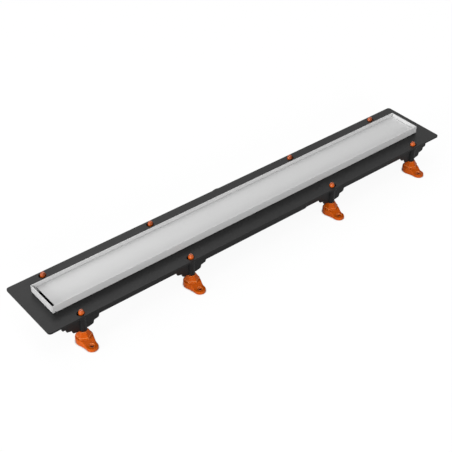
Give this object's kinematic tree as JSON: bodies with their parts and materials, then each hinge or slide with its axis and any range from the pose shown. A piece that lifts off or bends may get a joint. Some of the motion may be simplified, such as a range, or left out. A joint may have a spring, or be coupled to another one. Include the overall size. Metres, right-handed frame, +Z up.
{
  "type": "linear floor drain",
  "caption": "Long shower channel drain: black moulded body with flange, trap and side outlet, folded steel frame with a recessed cover plate, and orange screw feet.",
  "frame": {"origin": "on the floor under the middle of the drain, at the centre of its footprint", "axes": "+X along the drain away from the inlet slot, +Y the way the outlet points, +Z up"},
  "size_m": [0.908, 0.1866, 0.0759],
  "materials": {
    "black_plastic": "fine moulded matt",
    "stainless": "fine satin",
    "orange_plastic": "moulded, half gloss",
    "grey_plastic": "moulded matt",
    "seal_rubber": "matt"
  },
  "bodies": {
    "drain": {"channel_body": "black_plastic", "frame": "stainless", "cover_plate": "stainless", "trap_hood": "grey_plastic", "hood_seal": "seal_rubber"},
    "foot_1": {"foot_base_1": "orange_plastic"},
    "screw_1": {"spindle_1": "orange_plastic"},
    "foot_2": {"foot_base_2": "orange_plastic"},
    "screw_2": {"spindle_2": "orange_plastic"},
    "foot_3": {"foot_base_3": "orange_plastic"},
    "screw_3": {"spindle_3": "orange_plastic"},
    "foot_4": {"foot_base_4": "orange_plastic"},
    "screw_4": {"spindle_4": "orange_plastic"},
    "foot_5": {"foot_base_5": "orange_plastic"},
    "screw_5": {"spindle_5": "orange_plastic"},
    "foot_6": {"foot_base_6": "orange_plastic"},
    "screw_6": {"spindle_6": "orange_plastic"},
    "foot_7": {"foot_base_7": "orange_plastic"},
    "screw_7": {"spindle_7": "orange_plastic"},
    "foot_8": {"foot_base_8": "orange_plastic"},
    "screw_8": {"spindle_8": "orange_plastic"}
  },
  "joints": [
    {"name": "foot_height_1", "type": "slide", "parent": "drain", "child": "foot_1", "axis": [0, 0, -1], "range_m": [0, 0.03]},
    {"name": "spindle_turn_1", "type": "hinge", "parent": "foot_1", "child": "screw_1", "pos_m": [-0.3881, -0.0595, 0], "axis": [0, 0, -1], "range_deg": [0, 3600]},
    {"name": "foot_height_2", "type": "slide", "parent": "drain", "child": "foot_2", "axis": [0, 0, -1], "range_m": [0, 0.03]},
    {"name": "spindle_turn_2", "type": "hinge", "parent": "foot_2", "child": "screw_2", "pos_m": [-0.1667, -0.0595, 0], "axis": [0, 0, -1], "range_deg": [0, 3600]},
    {"name": "foot_height_3", "type": "slide", "parent": "drain", "child": "foot_3", "axis": [0, 0, -1], "range_m": [0, 0.03]},
    {"name": "spindle_turn_3", "type": "hinge", "parent": "foot_3", "child": "screw_3", "pos_m": [0.1667, -0.0595, 0], "axis": [0, 0, -1], "range_deg": [0, 3600]},
    {"name": "foot_height_4", "type": "slide", "parent": "drain", "child": "foot_4", "axis": [0, 0, -1], "range_m": [0, 0.03]},
    {"name": "spindle_turn_4", "type": "hinge", "parent": "foot_4", "child": "screw_4", "pos_m": [0.3881, -0.0595, 0], "axis": [0, 0, -1], "range_deg": [0, 3600]},
    {"name": "foot_height_5", "type": "slide", "parent": "drain", "child": "foot_5", "axis": [0, 0, -1], "range_m": [0, 0.03]},
    {"name": "spindle_turn_5", "type": "hinge", "parent": "foot_5", "child": "screw_5", "pos_m": [-0.3881, 0.0595, 0], "axis": [0, 0, -1], "range_deg": [0, 3600]},
    {"name": "foot_height_6", "type": "slide", "parent": "drain", "child": "foot_6", "axis": [0, 0, -1], "range_m": [0, 0.03]},
    {"name": "spindle_turn_6", "type": "hinge", "parent": "foot_6", "child": "screw_6", "pos_m": [-0.1667, 0.0595, 0], "axis": [0, 0, -1], "range_deg": [0, 3600]},
    {"name": "foot_height_7", "type": "slide", "parent": "drain", "child": "foot_7", "axis": [0, 0, -1], "range_m": [0, 0.03]},
    {"name": "spindle_turn_7", "type": "hinge", "parent": "foot_7", "child": "screw_7", "pos_m": [0.1667, 0.0595, 0], "axis": [0, 0, -1], "range_deg": [0, 3600]},
    {"name": "foot_height_8", "type": "slide", "parent": "drain", "child": "foot_8", "axis": [0, 0, -1], "range_m": [0, 0.03]},
    {"name": "spindle_turn_8", "type": "hinge", "parent": "foot_8", "child": "screw_8", "pos_m": [0.3881, 0.0595, 0], "axis": [0, 0, -1], "range_deg": [0, 3600]}
  ],
  "couplings": [
    {"joint": "spindle_turn_1", "follows": "foot_height_1", "rad_per_m": 2094.4},
    {"joint": "spindle_turn_2", "follows": "foot_height_2", "rad_per_m": 2094.4},
    {"joint": "spindle_turn_3", "follows": "foot_height_3", "rad_per_m": 2094.4},
    {"joint": "spindle_turn_4", "follows": "foot_height_4", "rad_per_m": 2094.4},
    {"joint": "spindle_turn_5", "follows": "foot_height_5", "rad_per_m": 2094.4},
    {"joint": "spindle_turn_6", "follows": "foot_height_6", "rad_per_m": 2094.4},
    {"joint": "spindle_turn_7", "follows": "foot_height_7", "rad_per_m": 2094.4},
    {"joint": "spindle_turn_8", "follows": "foot_height_8", "rad_per_m": 2094.4}
  ]
}
